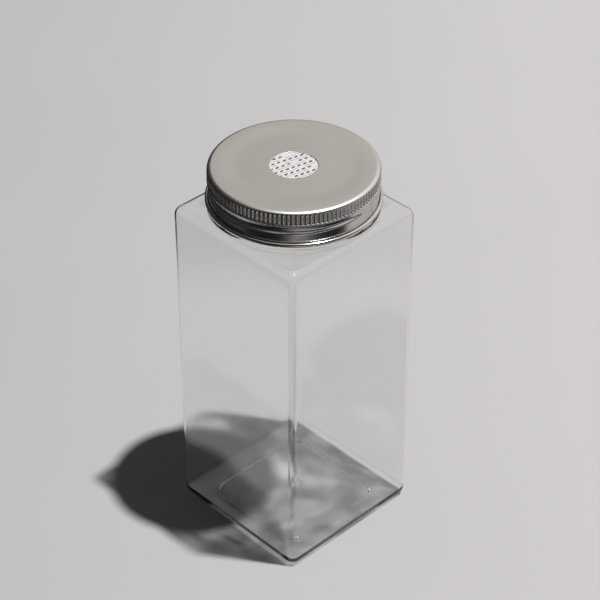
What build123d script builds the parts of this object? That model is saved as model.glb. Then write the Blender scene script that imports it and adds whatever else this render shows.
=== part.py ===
"""Square screw-top specimen jar: blow-moulded PET jar, rolled aluminium lid, laminated seal disc.

Millimetres, +Z up. The origin is the middle of the standing face: z = 0 is what the jar stands on.
"""
import os
from math import acos, cos, degrees, pi, radians, sin

from build123d import *

# ---- driving dimensions -------------------------------------------------------------------------
# Jar body
BODY_WIDTH = 65.0          # across the flats of the square body
BODY_HEIGHT = 143.1        # standing face to the flat of the shoulder
BODY_CORNER_R = 2.4        # upright corners
SHOULDER_R = 3.6           # roll from shoulder to wall
HEEL_R = 1.6               # roll from wall to standing face
WALL = 0.6                 # blown wall and shoulder
BASE_WALL = 1.4            # thicker PET in the base, which is hardly stretched
FOOT_BAND = 9.5            # from the side of the body to the foot of the push-up
FOOT_CORNER_R = 5.0        # corners of the push-up's foot
PUSH_UP = 3.6              # height of the pyramid-shaped push-up under the base
PUSH_UP_TOP = 10.0         # side of the small flat on top of the push-up
GATE_R = 2.4               # injection gate nub under the middle of the base
GATE_DEPTH = 0.8

# Neck finish: the standard 63 mm, six threads per inch, right-hand screw finish
THREAD_R = 31.2            # thread crest
THREAD_DEPTH = 1.2         # crest down to the neck wall
NECK_WALL = 1.7
FINISH_HEIGHT = 17.1       # shoulder to sealing lip
LIP_EDGE_R = 0.5
RING_REACH = 1.6           # carrying ring beyond the thread crest
RING_HEIGHT = 2.6
RING_EDGE_R = 0.6
RING_LIFT = 0.8            # carrying ring above the shoulder
NECK_FOOT = 0.6            # how much thicker the neck is under the ring
PITCH = 25.4 / 6.0
NECK_THREAD_TURNS = 1.25
NECK_THREAD_ROOT = 1.1     # half width of the ridge at the neck wall
NECK_THREAD_CREST = 0.45   # half width of the ridge at its crest

# Lid
SHEET = 0.4                # aluminium sheet
PANEL_STEP = 0.25          # how far the flat panel sits under the rim
PANEL_EDGE = 2.8           # edge of the flat panel, in from the plain wall
PANEL_RAMP = 0.8           # width of the slope from panel to rim
HOLE_R = 9.0               # punched hole in the middle of the panel
RIM_R = 1.65               # roll from panel rim to side wall
KNURL_COUNT = 120
KNURL_DEPTH = 0.4
KNURL_BAND = 5.15          # top of the rim to the lower end of the ribs
LIP_BEAD_R = 0.5           # round bead that closes the knurled band
LIP_BEAD_DROP = 0.3        # its centre, below the ribs
CURL_R = 0.9               # rolled bottom edge
CURL_END = 100.0           # where the rolled sheet stops, degrees from level
LID_THREAD_DROP = 7.85     # top of the rim to the middle of the rolled thread
LID_THREAD_ROOT = 1.7      # half width of the rolled thread at the wall
LID_THREAD_CREST = 0.65    # half width at its crest
LID_THREAD_TURNS = 300.0 / 360.0
GROOVE_INSET = 0.1         # each side, how much narrower the outer groove is than the inner ridge

# Seal disc inside the lid
SEAL_THICKNESS = 1.0
SEAL_FACE = 0.15           # printed film on the upper side

# The thread heights hold in one chosen direction round the axis
THREAD_ANGLE = -44.0
LID_THREAD_AFTER = 60.0    # degrees of thread beyond that direction
NECK_THREAD_AFTER = 226.0

# Clearances
LID_FIT = 0.4              # neck thread crest to the lid's plain bore
THREAD_CLEAR = 0.6         # lid thread crest to the neck wall
THREAD_PLAY = 0.15         # between the flanks, along the axis
SEAL_FIT = 1.0             # seal disc to the lid's plain bore
LID_GAP = 0.7              # carrying ring to the lid's rolled edge
EMBED = 0.25               # how far a thread flank runs on into the wall that carries it
SUNK_END = 0.08            # share of the thread depth that its ends sink below the wall
FADE = 28.0                # degrees over which a thread end runs out
SECTION_STEP = 12.0        # degrees between the sections of a thread

# ---- derived ------------------------------------------------------------------------------------
NECK_R = THREAD_R - THREAD_DEPTH
BORE_R = NECK_R - NECK_WALL
RING_R = THREAD_R + RING_REACH
RING_Z = BODY_HEIGHT + RING_LIFT
RING_TOP_Z = RING_Z + RING_HEIGHT
LIP_Z = BODY_HEIGHT + FINISH_HEIGHT
SEAL_TOP_Z = LIP_Z + SEAL_THICKNESS
PANEL_Z = SEAL_TOP_Z + SHEET
LID_TOP_Z = PANEL_Z + PANEL_STEP
LID_BORE_R = THREAD_R + LID_FIT
LID_WALL_R = LID_BORE_R + SHEET
KNURL_R = LID_WALL_R + KNURL_DEPTH
KNURL_Z = LID_TOP_Z - KNURL_BAND
PANEL_R = LID_WALL_R - PANEL_EDGE
RIM_Z = LID_TOP_Z - RIM_R
CURL_Z = RING_TOP_Z + LID_GAP + CURL_R
LID_THREAD_R = NECK_R + THREAD_CLEAR
LID_THREAD_Z = LID_TOP_Z - LID_THREAD_DROP
SEAL_R = LID_BORE_R - SEAL_FIT


def neck_flank(radius):
    """Half width of the neck thread at a radius."""
    share = (radius - NECK_R) / (THREAD_R - NECK_R)
    return NECK_THREAD_ROOT + share * (NECK_THREAD_CREST - NECK_THREAD_ROOT)


def lid_flank(radius):
    """Half width of the lid's rolled thread at a radius."""
    share = (radius - LID_THREAD_R) / (LID_BORE_R - LID_THREAD_R)
    return LID_THREAD_CREST + share * (LID_THREAD_ROOT - LID_THREAD_CREST)


# The lid's thread hangs under the neck's thread, one flank play away.
FLANKS_AT_NECK_CREST = neck_flank(THREAD_R) + lid_flank(THREAD_R)
FLANKS_AT_LID_CREST = neck_flank(LID_THREAD_R) + lid_flank(LID_THREAD_R)
THREAD_OFFSET = max(FLANKS_AT_NECK_CREST, FLANKS_AT_LID_CREST) + THREAD_PLAY


# ---- shared shapes ------------------------------------------------------------------------------
def square(side, corner, z):
    """Rounded square face at a height."""
    return Plane.XY.offset(z) * RectangleRounded(side, side, corner)


def rolled_edge(side, corner, radius, z, direction):
    """The quarter-round zone that closes a square column upwards (+1) or downwards (-1)."""
    steps = 6
    sections = []
    for i in range(steps + 1):
        angle = i * pi / 2 / steps
        inset = radius * (1 - cos(angle))
        sections.append(square(side - 2 * inset, corner, z + direction * radius * sin(angle)))
    if direction < 0:
        sections.reverse()
    return loft(sections)


def column(side, corner, bottom, top, heel, shoulder):
    """Square column with rolled bottom and top edges."""
    straight = extrude(square(side, corner, bottom + heel), top - shoulder - bottom - heel)
    lower = rolled_edge(side, corner, heel, bottom + heel, -1)
    upper = rolled_edge(side, corner, shoulder, top - shoulder, 1)
    return straight + lower + upper


def pyramid(side, corner, bottom, top_side, top):
    """Low square pyramid with a flat top."""
    return loft([square(side, corner, bottom), square(top_side, corner / 2, top)])


def helical_band(root_r, crest_r, root_half, crest_half, z_mid, after, turns):
    """Solid that winds up the axis; its flanks run on past root_r into the wall, both ends run out.

    z_mid is its height at THREAD_ANGLE, after the degrees it runs on beyond that direction.
    """
    slope = (root_half - crest_half) / (crest_r - root_r)
    buried = root_r - EMBED if crest_r > root_r else root_r + EMBED
    buried_half = crest_half + slope * (crest_r - buried)
    total = turns * 360
    count = round(total / SECTION_STEP)
    sections = []
    for i in range(count + 1):
        along = total * i / count
        fade = min(1.0, along / FADE, (total - along) / FADE)
        grow = sin(fade * pi / 2) * (1 + SUNK_END) - SUNK_END
        crest = root_r + (crest_r - root_r) * grow
        turn = after - total + along
        angle = radians(THREAD_ANGLE + turn)
        plane = Plane(
            origin=(0, 0, z_mid + PITCH * turn / 360),
            x_dir=(cos(angle), sin(angle), 0),
            z_dir=(sin(angle), -cos(angle), 0),
        )
        corners = [
            (buried, -buried_half),
            (crest, -crest_half),
            (crest, crest_half),
            (buried, buried_half),
        ]
        sections.append(plane * make_face(Polyline(*corners, close=True)))
    return loft(sections)


# ---- jar ----------------------------------------------------------------------------------------
def rod(radius, bottom, top):
    """Plain upright cylinder between two heights."""
    return Pos(0, 0, (bottom + top) / 2) * Cylinder(radius, top - bottom)


def neck():
    """Neck with its carrying ring and thread, still without its bore."""
    foot = rod(NECK_R + NECK_FOOT, BODY_HEIGHT - SHOULDER_R, RING_Z)
    ring = rod(RING_R, RING_Z, RING_TOP_Z)
    ring = fillet(ring.edges().filter_by(GeomType.CIRCLE), RING_EDGE_R)
    pipe = rod(NECK_R, RING_Z, LIP_Z)
    lip_edge = pipe.edges().filter_by(GeomType.CIRCLE).sort_by(Axis.Z)[-1]
    pipe = fillet(lip_edge, LIP_EDGE_R)
    thread = helical_band(
        NECK_R,
        THREAD_R,
        NECK_THREAD_ROOT,
        NECK_THREAD_CREST,
        LID_THREAD_Z + THREAD_OFFSET,
        NECK_THREAD_AFTER,
        NECK_THREAD_TURNS,
    )
    return foot + ring + pipe + thread


def cavity():
    """The space inside the blown body; the push-up stands up into it."""
    inside = column(
        BODY_WIDTH - 2 * WALL,
        BODY_CORNER_R - WALL,
        BASE_WALL,
        BODY_HEIGHT - WALL,
        HEEL_R + WALL,
        SHOULDER_R - WALL,
    )
    foot_side = BODY_WIDTH - 2 * FOOT_BAND + BASE_WALL
    top_side = PUSH_UP_TOP + BASE_WALL
    floor = pyramid(foot_side, FOOT_CORNER_R, BASE_WALL - EMBED, top_side, PUSH_UP + BASE_WALL)
    return inside - floor


def jar_body():
    """One blow-moulded piece: square body, push-up base, shoulder, neck and thread."""
    outside = column(BODY_WIDTH, BODY_CORNER_R, 0, BODY_HEIGHT, HEEL_R, SHOULDER_R)
    recess = pyramid(BODY_WIDTH - 2 * FOOT_BAND, FOOT_CORNER_R, 0, PUSH_UP_TOP, PUSH_UP)
    bore = rod(BORE_R, BODY_HEIGHT - SHOULDER_R, LIP_Z)
    gate = rod(GATE_R, PUSH_UP - GATE_DEPTH, PUSH_UP + EMBED)
    return outside + neck() - cavity() - bore - recess + gate


# ---- lid ----------------------------------------------------------------------------------------
def arc(centre, radius, start, end):
    """Arc in the lid's section, angles in degrees."""
    points = []
    for angle in (start, (start + end) / 2, end):
        points.append((centre[0] + radius * cos(radians(angle)), centre[1] + radius * sin(radians(angle))))
    return ThreePointArc(*points)


def joined(first, second):
    """Straight edge from the end of one edge to the start of the next."""
    return Line(first @ 1, second @ 0)


def lid_section():
    """Closed section of the rolled sheet, drawn as radius and height."""
    rim_centre = (KNURL_R - RIM_R, RIM_Z)
    rim_bore_centre = (LID_BORE_R - RIM_R + SHEET, RIM_Z)
    bead_centre = (LID_WALL_R, KNURL_Z - LIP_BEAD_DROP)
    curl_centre = (LID_BORE_R + CURL_R, CURL_Z)
    bead_start = degrees(acos(KNURL_DEPTH / LIP_BEAD_R))
    rim = arc(rim_centre, RIM_R, 90, 0)
    bead = arc(bead_centre, LIP_BEAD_R, bead_start, -90)
    curl_inside = arc(curl_centre, CURL_R - SHEET, 180, CURL_END + 360)
    curl_outside = arc(curl_centre, CURL_R, CURL_END + 360, 180)
    rim_inside = arc(rim_bore_centre, RIM_R - SHEET, 0, 90)
    panel = Polyline(
        rim_inside @ 1,
        (PANEL_R + PANEL_RAMP, LID_TOP_Z - SHEET),
        (PANEL_R, SEAL_TOP_Z),
        (HOLE_R, SEAL_TOP_Z),
        (HOLE_R, PANEL_Z),
        (PANEL_R, PANEL_Z),
        (PANEL_R + PANEL_RAMP, LID_TOP_Z),
        rim @ 0,
    )
    return make_face([
        panel,
        rim,
        joined(rim, bead),
        bead,
        joined(bead, curl_inside),
        curl_inside,
        joined(curl_inside, curl_outside),
        curl_outside,
        joined(curl_outside, rim_inside),
        rim_inside,
    ])


def knurl_gaps():
    """The spaces between the ribs of the knurled band, as one cutter."""
    pitch = 2 * pi / KNURL_COUNT
    rib = ((-0.25, KNURL_R), (0.0, KNURL_R), (0.25, LID_WALL_R), (0.5, LID_WALL_R))
    points = []
    for i in range(KNURL_COUNT):
        for share, radius in rib:
            angle = (i + share) * pitch
            points.append((radius * cos(angle), radius * sin(angle)))
    star = make_face(Polyline(*points, close=True))
    ring = Circle(KNURL_R + KNURL_DEPTH) - star
    return extrude(Plane.XY.offset(KNURL_Z) * ring, KNURL_BAND)


def cap_shell():
    """Aluminium lid: punched panel, rim, knurled band, rolled thread and rolled bottom edge."""
    shell = revolve(Plane.XZ * lid_section(), Axis.Z) - knurl_gaps()
    place = (LID_THREAD_Z, LID_THREAD_AFTER, LID_THREAD_TURNS)
    inner_ridge = helical_band(LID_BORE_R, LID_THREAD_R, LID_THREAD_ROOT, LID_THREAD_CREST, *place)
    outer_groove = helical_band(
        LID_WALL_R,
        LID_THREAD_R + SHEET,
        LID_THREAD_ROOT - GROOVE_INSET,
        LID_THREAD_CREST - GROOVE_INSET,
        *place,
    )
    return shell + inner_ridge - outer_groove


# ---- seal ---------------------------------------------------------------------------------------
def seal_foam():
    """Foamed liner that presses on the lip."""
    return rod(SEAL_R, LIP_Z, SEAL_TOP_Z - SEAL_FACE)


def seal_face():
    """Printed film on the liner; its middle shows through the hole in the lid."""
    return rod(SEAL_R, SEAL_TOP_Z - SEAL_FACE, SEAL_TOP_Z)


PARTS = {
    "jar_body": jar_body,
    "cap_shell": cap_shell,
    "seal_foam": seal_foam,
    "seal_face": seal_face,
}

os.makedirs("parts", exist_ok=True)
for name, make in PARTS.items():
    piece = make()
    export_step(piece, f"parts/{name}.step")
    solids = piece.solids()
    print(name, len(solids), "solid(s)", round(sum(s.volume for s in solids), 1), "mm3")
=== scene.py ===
# %% [markdown]
# # A square screw-top jar with a rolled aluminium lid
# The jar is one piece of clear PET, blown inside a square mould. Its lid is drawn and rolled from thin
# aluminium sheet, with a hole in the middle through which the printed seal disc shows. The scene starts
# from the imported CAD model, because every piece made here has to sit exactly where the CAD piece sits.

# %% Load the frame
from math import cos, degrees, hypot, pi, radians, sin, sqrt

import bmesh
import bpy
from mathutils import Euler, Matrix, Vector


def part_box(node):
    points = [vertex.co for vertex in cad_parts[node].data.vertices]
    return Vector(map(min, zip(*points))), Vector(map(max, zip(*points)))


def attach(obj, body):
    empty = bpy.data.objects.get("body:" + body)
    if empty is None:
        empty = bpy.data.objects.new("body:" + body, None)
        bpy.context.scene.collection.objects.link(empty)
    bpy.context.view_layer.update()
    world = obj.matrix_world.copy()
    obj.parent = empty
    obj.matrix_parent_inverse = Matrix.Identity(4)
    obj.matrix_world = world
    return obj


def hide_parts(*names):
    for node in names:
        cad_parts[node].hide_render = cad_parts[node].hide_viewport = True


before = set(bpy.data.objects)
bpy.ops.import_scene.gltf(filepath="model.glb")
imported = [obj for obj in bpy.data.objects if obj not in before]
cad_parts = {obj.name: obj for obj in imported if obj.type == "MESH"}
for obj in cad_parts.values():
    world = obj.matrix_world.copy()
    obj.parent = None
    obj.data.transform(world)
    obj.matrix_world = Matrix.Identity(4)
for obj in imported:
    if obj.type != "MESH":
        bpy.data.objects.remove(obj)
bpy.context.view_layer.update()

MM = 0.001

# %% [markdown]
# ## Three small helpers
# Colours are picked as sRGB hex values, but shaders work in linear light, so one function converts them.
# A second one adds a node, sets its options and fills its inputs: a value that is itself a socket becomes
# a link. A third one turns lists of points into a mesh object at the origin, with its place in its mesh.

# %% Helpers


def hex_colour(code):
    """Linear RGBA from an sRGB hex code."""
    values = []
    for i in (1, 3, 5):
        v = int(code[i:i + 2], 16) / 255
        values.append(v / 12.92 if v <= 0.04045 else ((v + 0.055) / 1.055) ** 2.4)
    return (*values, 1.0)


def add_node(tree, kind, inputs=None, **settings):
    """Add a node; inputs maps a socket's name or number to a value or to another node's output."""
    node = tree.nodes.new(kind)
    for name, value in settings.items():
        setattr(node, name, value)
    for key, value in (inputs or {}).items():
        socket = node.inputs[key]
        if isinstance(value, bpy.types.NodeSocket):
            tree.links.new(value, socket)
        else:
            socket.default_value = value
    return node


def mesh_object(name, points, faces, smooth=True):
    """A mesh object whose normals point outwards."""
    mesh = bpy.data.meshes.new(name)
    mesh.from_pydata(points, [], faces)
    shape = bmesh.new()
    shape.from_mesh(mesh)
    bmesh.ops.remove_doubles(shape, verts=shape.verts, dist=1e-7)
    bmesh.ops.recalc_face_normals(shape, faces=shape.faces)
    shape.to_mesh(mesh)
    shape.free()
    for face in mesh.polygons:
        face.use_smooth = smooth
    thing = bpy.data.objects.new(name, mesh)
    bpy.context.scene.collection.objects.link(thing)
    return thing


print("helpers ready")

# %% [markdown]
# ## The camera
# The jar is seen corner-on from above, from a little under a metre away with a long lens, which keeps the
# upright edges nearly parallel. It looks at a point close to the axis, a little above the jar's middle.

# %% Camera
CAMERA_AZIMUTH = radians(45.9)
CAMERA_ELEVATION = radians(36.83)
CAMERA_DISTANCE = 0.8086
AIM_HEIGHT = 0.0992
AIM_SIDE = 0.00223
FOCAL_LENGTH = 125.2          # mm, on a 36 mm wide sensor

side_way = Vector((cos(CAMERA_AZIMUTH), sin(CAMERA_AZIMUTH), 0))
back_way = Vector((
    sin(CAMERA_AZIMUTH) * cos(CAMERA_ELEVATION),
    -cos(CAMERA_AZIMUTH) * cos(CAMERA_ELEVATION),
    sin(CAMERA_ELEVATION),
))
aim = side_way * AIM_SIDE + Vector((0, 0, AIM_HEIGHT))
camera = bpy.data.objects.new("camera", bpy.data.cameras.new("camera"))
camera.data.sensor_width = 36
camera.data.lens = FOCAL_LENGTH
camera.data.clip_start = 0.01
camera.location = aim + back_way * CAMERA_DISTANCE
camera.rotation_euler = back_way.to_track_quat("Z", "Y").to_euler()
bpy.context.scene.collection.objects.link(camera)
bpy.context.scene.camera = camera
print("camera at", [round(v, 3) for v in camera.location])

# %% [markdown]
# ## Light and surroundings
# One hard lamp stands high on the right, so the jar throws a dark, fairly sharp shadow to the left. Metal has
# hardly a colour of its own and shows what it mirrors: a soft glow behind the jar for the flat top of the lid,
# and a fainter one overhead that draws pale lines along its rolled edges. Rays scattered by the floor find only
# a weak even fill instead, which keeps the shadow deep, and the eye looks at a plain backdrop.

# %% Lamp and surroundings
LAMP_AZIMUTH = radians(35.0)
LAMP_ELEVATION = radians(74.15)
LAMP_STRENGTH = 2.95
LAMP_WIDTH = radians(2.2)      # a wider lamp would blur the shadow's edge more
GLOW_TURN = radians(-50)       # the glow stands to the right of straight behind the jar
GLOW_EDGE = radians(62)
GLOW_FULL = radians(12)
GLOW_STRENGTH = 0.78
ROOM_STRENGTH = 0.03
OVERHEAD_EDGE = radians(57)
OVERHEAD_FULL = radians(76)
OVERHEAD_STRENGTH = 0.55
FILL_STRENGTH = 0.06
BACKDROP_STRENGTH = 0.95
REFRACTED_SHARE = 0.75         # how much of the backdrop a ray that left through the jar sees

lamp_way = Vector((
    cos(LAMP_AZIMUTH) * cos(LAMP_ELEVATION),
    sin(LAMP_AZIMUTH) * cos(LAMP_ELEVATION),
    sin(LAMP_ELEVATION),
))
lamp = bpy.data.objects.new("lamp", bpy.data.lights.new("lamp", "SUN"))
lamp.data.energy = LAMP_STRENGTH
lamp.data.angle = LAMP_WIDTH
lamp.rotation_euler = lamp_way.to_track_quat("Z", "Y").to_euler()
bpy.context.scene.collection.objects.link(lamp)

world = bpy.data.worlds.new("room")
world.use_nodes = True
bpy.context.scene.world = world
room = world.node_tree
room.nodes.clear()
glow_way = Vector((-back_way.x, -back_way.y, back_way.z))
glow_way.rotate(Euler((0, 0, GLOW_TURN)))
toward = add_node(room, "ShaderNodeTexCoord").outputs["Generated"]
aligned = add_node(room, "ShaderNodeVectorMath", {0: toward, 1: glow_way}, operation="DOT_PRODUCT")
glow = add_node(room, "ShaderNodeMapRange", {
    "Value": aligned.outputs["Value"],
    "From Min": cos(GLOW_EDGE),
    "From Max": cos(GLOW_FULL),
    "To Min": ROOM_STRENGTH,
    "To Max": GLOW_STRENGTH,
}, interpolation_type="SMOOTHSTEP")
skyward = add_node(room, "ShaderNodeSeparateXYZ", {0: toward}).outputs["Z"]
overhead = add_node(room, "ShaderNodeMapRange", {
    "Value": skyward,
    "From Min": sin(OVERHEAD_EDGE),
    "From Max": sin(OVERHEAD_FULL),
    "To Min": 0.0,
    "To Max": OVERHEAD_STRENGTH,
}, interpolation_type="SMOOTHSTEP")
brightest = add_node(room, "ShaderNodeMath", {
    0: glow.outputs["Result"], 1: overhead.outputs["Result"],
}, operation="MAXIMUM")
ray = add_node(room, "ShaderNodeLightPath").outputs
glow_light = add_node(room, "ShaderNodeBackground", {
    "Color": hex_colour("#fdfaf4"), "Strength": brightest.outputs[0],
})
fill_light = add_node(room, "ShaderNodeBackground", {
    "Color": hex_colour("#f4f6ff"), "Strength": FILL_STRENGTH,
})
backdrop = add_node(room, "ShaderNodeBackground", {
    "Color": hex_colour("#c8c4c3"), "Strength": BACKDROP_STRENGTH,
})
unseen = add_node(room, "ShaderNodeMixShader", {
    0: ray["Is Diffuse Ray"], 1: glow_light.outputs[0], 2: fill_light.outputs[0],
})
refracted = add_node(room, "ShaderNodeMath", {
    0: ray["Is Transmission Ray"], 1: REFRACTED_SHARE,
}, operation="MULTIPLY")
looked_at = add_node(room, "ShaderNodeMath", {
    0: ray["Is Camera Ray"], 1: refracted.outputs[0],
}, operation="MAXIMUM")
both = add_node(room, "ShaderNodeMixShader", {
    0: looked_at.outputs[0], 1: unseen.outputs[0], 2: backdrop.outputs[0],
})
add_node(room, "ShaderNodeOutputWorld", {"Surface": both.outputs[0]})
world.cycles.sampling_method = "NONE"     # the split by kind of ray only works without light sampling
bpy.context.scene.view_settings.view_transform = "Standard"
print("lamp stands", round(degrees(LAMP_ELEVATION)), "degrees high")

# %% [markdown]
# ## Floor
# The floor is a pale matt board, with a painted pool of light that makes it a little brighter on the right.
# The room beyond it is dark, and the rolled side of the lid should mirror that dark, so shade is painted on the
# board for mirror rays only, in two fixed places: in a strip in front of the jar and, further out, on its left.
# The lid mirrors this painted shade. Rays that pass through the jar are not mirrored and see it pale.

# %% Floor
BOARD_HALF = 3.0
BOARD_Z = -0.1 * MM            # just below the jar, so that two faces don't lie at one height
MOTTLE_SHARE = 0.2
corners = [(x * BOARD_HALF, y * BOARD_HALF, BOARD_Z) for x, y in ((-1, -1), (1, -1), (1, 1), (-1, 1))]
floor = mesh_object("floor", corners, [(0, 1, 2, 3)], smooth=False)
# the board's material carries a painted pool of light and, for mirror rays only, painted shade
floor_with_painted_light_and_shade = bpy.data.materials.new("matt board, painted light and shade")
floor_with_painted_light_and_shade.use_nodes = True
tree = floor_with_painted_light_and_shade.node_tree
tree.nodes.clear()
place = add_node(tree, "ShaderNodeTexCoord").outputs["Object"]
mottle = add_node(tree, "ShaderNodeTexNoise", {"Vector": place, "Scale": 9.0, "Detail": 3.0})
sideways = add_node(tree, "ShaderNodeVectorMath", {0: place, 1: side_way}, operation="DOT_PRODUCT")
# painted light: the board's colour is painted brighter towards the right, a painted pool of light
painted_light_right = add_node(tree, "ShaderNodeMapRange", {
    "Value": sideways.outputs["Value"], "From Min": -0.16, "From Max": 0.14, "To Min": 0.0, "To Max": 0.85,
})
# random mottle of the board plus the painted light towards the right
mottle_and_painted_light = add_node(tree, "ShaderNodeMath", {
    0: mottle.outputs["Fac"], 1: MOTTLE_SHARE, 2: painted_light_right.outputs["Result"],
}, operation="MULTIPLY_ADD")
board_colour_and_painted_light = add_node(tree, "ShaderNodeMix", {
    0: mottle_and_painted_light.outputs[0], 6: hex_colour("#c3c0c0"), 7: hex_colour("#d7d3d3"),
}, data_type="RGBA")
pale = add_node(tree, "ShaderNodeBsdfDiffuse", {"Color": board_colour_and_painted_light.outputs[2]})
print("floor:", 2 * BOARD_HALF, "m wide")

# %% Painted shade on the floor, seen only by mirror rays
# masks of the painted shade: further out on the left of the jar, and a strip in front of it
to_the_left = add_node(tree, "ShaderNodeMapRange", {
    "Value": sideways.outputs["Value"], "From Min": -0.10, "From Max": 0.06, "To Min": 1.0, "To Max": 0.3,
}, interpolation_type="SMOOTHSTEP")
distance = add_node(tree, "ShaderNodeVectorMath", {0: place}, operation="LENGTH")
far_out = add_node(tree, "ShaderNodeMapRange", {
    "Value": distance.outputs["Value"], "From Min": 0.17, "From Max": 0.235, "To Min": 0.0, "To Max": 1.0,
}, interpolation_type="SMOOTHSTEP")
beside = add_node(tree, "ShaderNodeMath", {
    0: to_the_left.outputs["Result"], 1: far_out.outputs["Result"],
}, operation="MULTIPLY")
front_way = Vector((back_way.x, back_way.y, 0)).normalized()
frontwards = add_node(tree, "ShaderNodeVectorMath", {0: place, 1: front_way}, operation="DOT_PRODUCT")
strip_start = add_node(tree, "ShaderNodeMapRange", {
    "Value": frontwards.outputs["Value"], "From Min": 0.055, "From Max": 0.10, "To Min": 0.0, "To Max": 1.0,
}, interpolation_type="SMOOTHSTEP")
strip_end = add_node(tree, "ShaderNodeMapRange", {
    "Value": frontwards.outputs["Value"], "From Min": 0.235, "From Max": 0.265, "To Min": 1.0, "To Max": 0.1,
}, interpolation_type="SMOOTHSTEP")
strip = add_node(tree, "ShaderNodeMath", {
    0: strip_start.outputs["Result"], 1: strip_end.outputs["Result"],
}, operation="MULTIPLY")
painted_shade_mask = add_node(tree, "ShaderNodeMath", {0: beside.outputs[0], 1: strip.outputs[0]}, operation="MAXIMUM")
mirrors = add_node(tree, "ShaderNodeLightPath").outputs["Glossy Depth"]
painted_shade_for_mirrors = add_node(tree, "ShaderNodeMath", {
    0: mirrors, 1: painted_shade_mask.outputs[0],
}, operation="MULTIPLY", use_clamp=True)
# painted shade: mirror rays see this near-black colour in the masked places, and the lid mirrors it
dark = add_node(tree, "ShaderNodeBsdfDiffuse", {"Color": hex_colour("#1d1d1d")})
board = add_node(tree, "ShaderNodeMixShader", {0: painted_shade_for_mirrors.outputs[0], 1: pale.outputs[0], 2: dark.outputs[0]})
add_node(tree, "ShaderNodeOutputMaterial", {"Surface": board.outputs[0]})
floor.data.materials.append(floor_with_painted_light_and_shade)
print("material:", floor_with_painted_light_and_shade.name)

# %% [markdown]
# ## The jar's shape
# A blow-moulded jar is a skin: one closed surface that runs from the gate under the base, up the outside,
# over the lip and down the inside to the floor. Every ring of that skin is a rounded square low down and a
# circle in the neck. So each ring is described as a rule that gives radius and height for a direction, and
# one loop joins all the rings. Directions lie close together at the upright corners, where the curve is tight.

# %% Directions and the rounded square
BODY_HALF = 32.5
CORNER_R = 2.4
SHOULDER_Z = 143.1
SHOULDER_R = 3.6
HEEL_R = 3.0
FOOT_CORNER_R = 6.5
WALL = 0.6
BASE_TOP_Z = 1.4               # top of the flat band of the jar's floor
NECK_R = 30.0
BORE_R = 28.3
LIP_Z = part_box("jar_body")[1][2] / MM

SIDE_STEPS = 30
SIDE_REACH = 42.5              # degrees to each side of a flat side's middle
CORNER_STEPS = 11
CORNER_STEP = 0.42             # degrees
quarter = [-SIDE_REACH + i * 2 * SIDE_REACH / (SIDE_STEPS - 1) for i in range(SIDE_STEPS)]
quarter += [45 + (i - CORNER_STEPS // 2) * CORNER_STEP for i in range(CORNER_STEPS)]
DIRECTIONS = [radians(q * 90 + step) for q in range(4) for step in quarter]


def square_radius(angle, half, corner):
    """Distance from the axis to a rounded square, in a direction."""
    long = max(abs(cos(angle)), abs(sin(angle)))
    short = min(abs(cos(angle)), abs(sin(angle)))
    if half * short / long <= half - corner:
        return half / long
    centre = half - corner
    along = centre * (long + short)
    return along + sqrt(max(along * along - 2 * centre * centre + corner * corner, 0.0))


print(len(DIRECTIONS), "directions round the jar")

# %% [markdown]
# The outside from the gate to the shoulder. The base is pushed up in a low pyramid so that the jar stands on
# a flat band near its sides and not on the rough gate. The corners of the pyramid show as four ridges.

# %% Rings of the outside
GATE_SECTION = ((0.02, 2.8), (1.2, 2.8), (2.1, 2.82), (2.35, 3.0), (2.5, 3.4), (2.8, 3.58))
PYRAMID_ROWS = 15
PYRAMID_HALF = 4.6
PYRAMID_SPREAD = 17.9
PYRAMID_Z = 3.6
PYRAMID_DROP = 2.9
PYRAMID_BOW = 0.5
FOOT_SECTION = ((22.65, 0.55), (22.8, 0.3), (23.0, 0.12), (23.3, 0.02))
STANDING_BAND = (24.0, 26.5)
HEEL_ROWS = 10
WALL_ROWS = 26
rings = []


def square_ring(half, corner, z):
    """Ring of a rounded square at one height."""
    rings.append([(square_radius(a, half, corner), z) for a in DIRECTIONS])


def round_ring(radius, z):
    """Circular ring at one height."""
    rings.append([(radius, z)] * len(DIRECTIONS))


def smooth(t):
    """Eases from 0 to 1 with flat ends."""
    return t * t * (3 - 2 * t)


for radius, z in GATE_SECTION:
    round_ring(radius, z)
for i in range(PYRAMID_ROWS):
    t = i / (PYRAMID_ROWS - 1)
    z = PYRAMID_Z - PYRAMID_DROP * t + PYRAMID_BOW * (smooth(t) - t)
    square_ring(PYRAMID_HALF + PYRAMID_SPREAD * t, 2.0 + 1.6 * t, z)
for half, z in FOOT_SECTION:
    square_ring(half, 4.0, z)
for half in STANDING_BAND:
    square_ring(half, 5.0, 0.0)
for i in range(HEEL_ROWS + 1):
    t = radians(90 * i / HEEL_ROWS)
    corner = FOOT_CORNER_R + (CORNER_R - FOOT_CORNER_R) * i / HEEL_ROWS
    square_ring(BODY_HALF - HEEL_R * (1 - sin(t)), corner, HEEL_R * (1 - cos(t)))
for i in range(1, WALL_ROWS):
    z = HEEL_R + (SHOULDER_Z - SHOULDER_R - HEEL_R) * i / WALL_ROWS
    square_ring(BODY_HALF, CORNER_R, z)
print(len(rings), "rings up to the shoulder")

# %% [markdown]
# The shoulder rolls inwards and meets the foot of the neck. The neck is a little wider than the flat top of
# the square, so in the middle of each side it stands on the roll itself. Each direction therefore gets its
# own short path over the roll, cut off at the neck and divided evenly.

# %% Rings over the shoulder
FOOT_R = 30.6                  # foot of the neck
RING_Z = 143.9                 # underside of the carrying ring
ROLL_STEPS = 24
SHOULDER_ROWS = 26


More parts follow.
